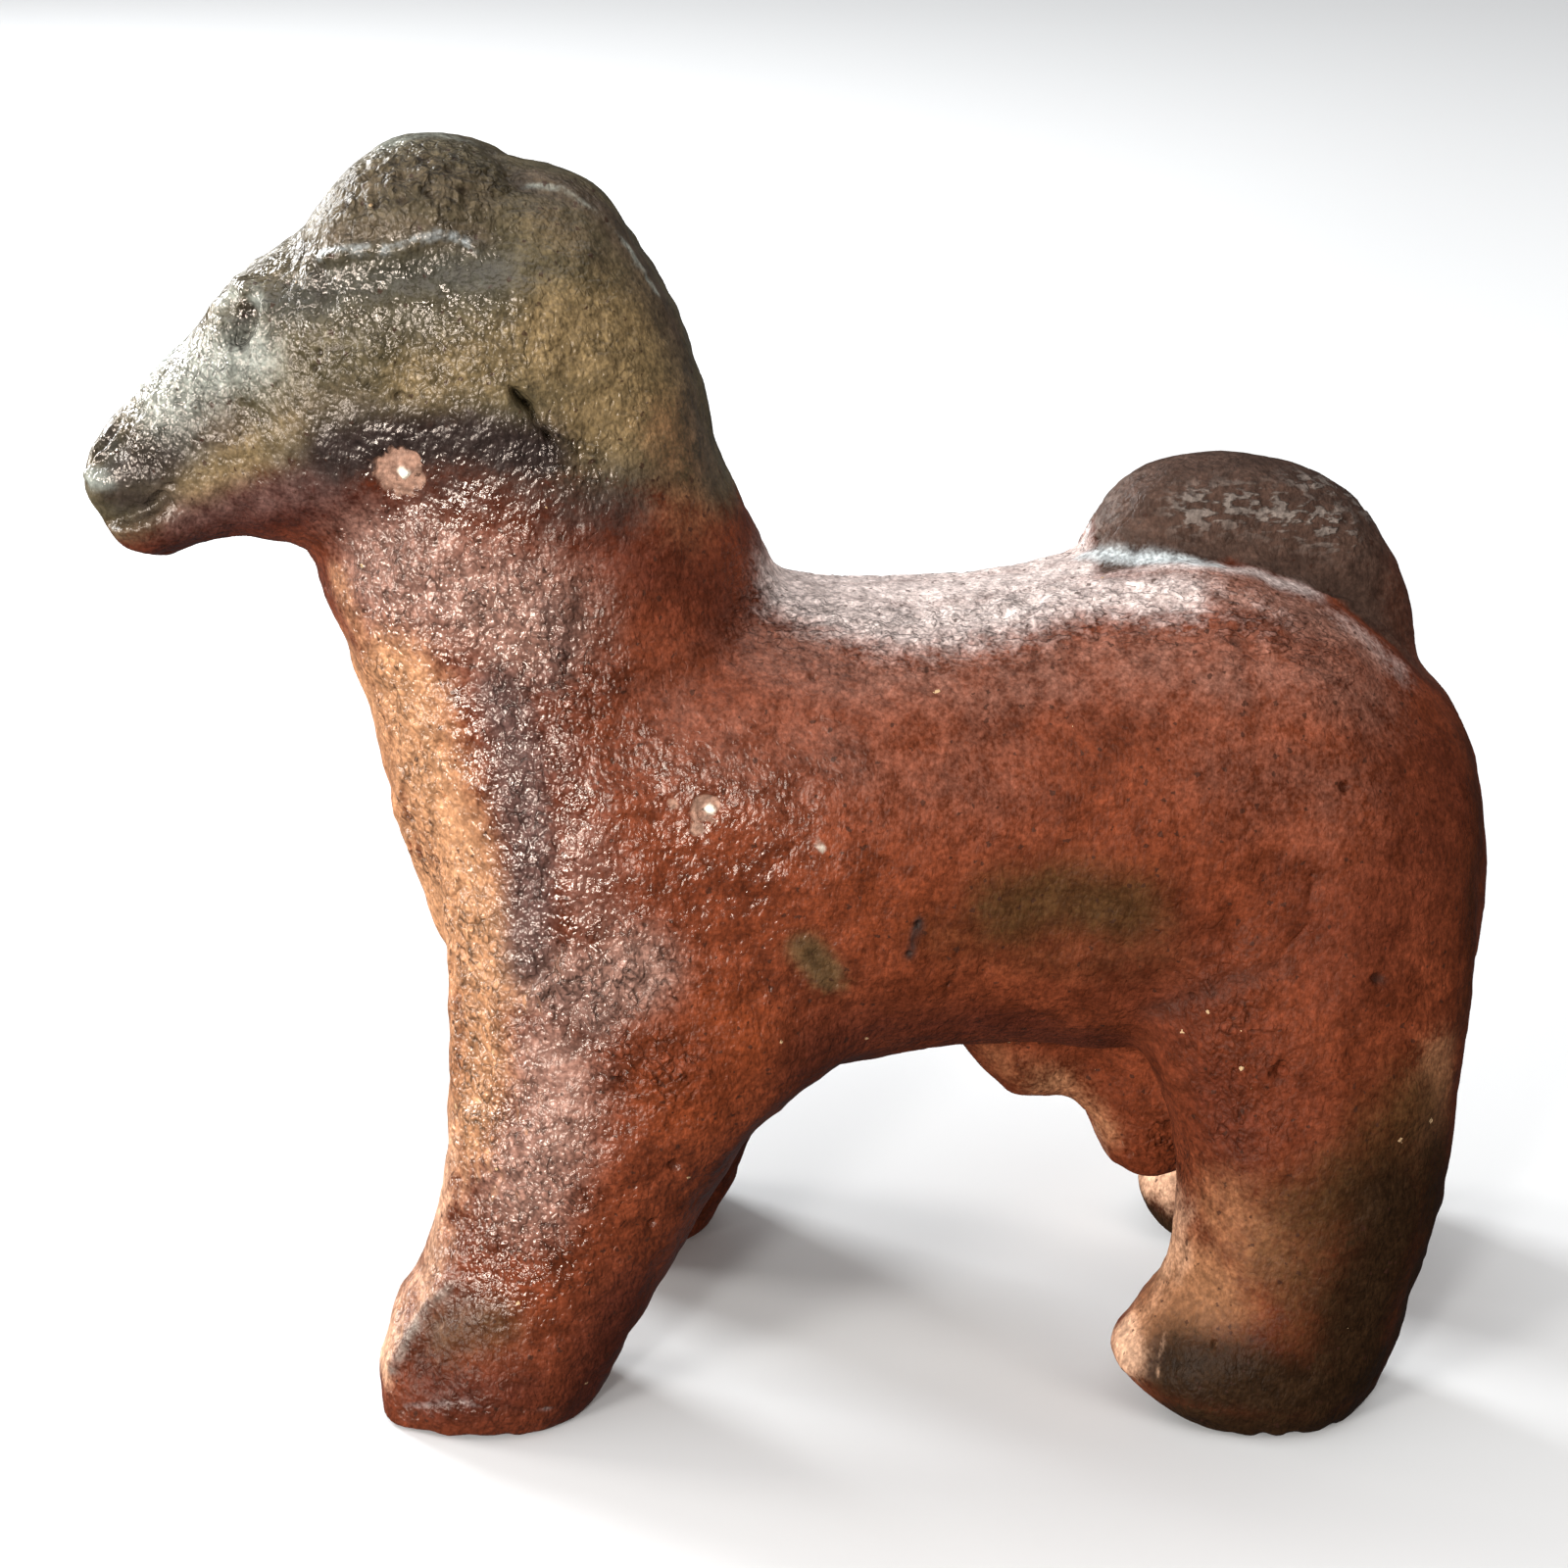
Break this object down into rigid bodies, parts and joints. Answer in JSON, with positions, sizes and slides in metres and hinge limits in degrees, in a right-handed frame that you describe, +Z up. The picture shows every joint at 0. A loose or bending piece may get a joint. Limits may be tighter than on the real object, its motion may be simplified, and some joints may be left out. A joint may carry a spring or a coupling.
{
  "type": "pottery ram figurine",
  "caption": "Small hand-modelled pottery animal standing on thick legs, with a long wedge head, an arched neck with a crest and a thick tail curled over the rump.",
  "frame": {"origin": "middle of the bounding box's underside, on the ground that the soles stand on", "axes": "+Z up, -X towards the head, -Y towards the animal's left side, which the picture shows"},
  "size_m": [0.1082, 0.0438, 0.0969],
  "materials": {
    "fired_clay": "fired red-brown clay with a slight worn gloss, smoke-dark head, mauve, olive and yellow patches"
  },
  "bodies": {
    "root": {"ram_figurine": "fired_clay"}
  },
  "joints": []
}
